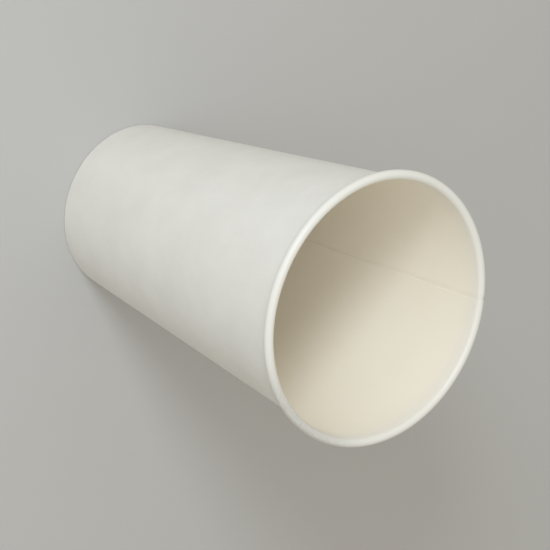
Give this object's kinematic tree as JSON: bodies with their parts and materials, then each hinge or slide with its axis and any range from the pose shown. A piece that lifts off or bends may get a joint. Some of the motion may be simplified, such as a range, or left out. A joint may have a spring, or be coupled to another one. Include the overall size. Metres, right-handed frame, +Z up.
{
  "type": "paper cup",
  "caption": "Tall tapered single-wall paper cup for hot drinks, with a rolled rim, a lapped side seam and a recessed bottom held in a folded foot.",
  "frame": {"origin": "centre of the foot, on the floor that the cup stands on", "axes": "+Z up along the cup's axis, out of its mouth; +Y towards the side seam, whose overlap puts the centroid 0.8 mm off the axis"},
  "size_m": [0.09, 0.09, 0.136],
  "materials": {
    "wall_board": "white uncoated board outside, thin waterproof film inside",
    "bottom_board": "white uncoated board below, thin waterproof film above"
  },
  "bodies": {
    "root": {"sidewall": "wall_board", "bottom": "bottom_board"}
  },
  "joints": []
}
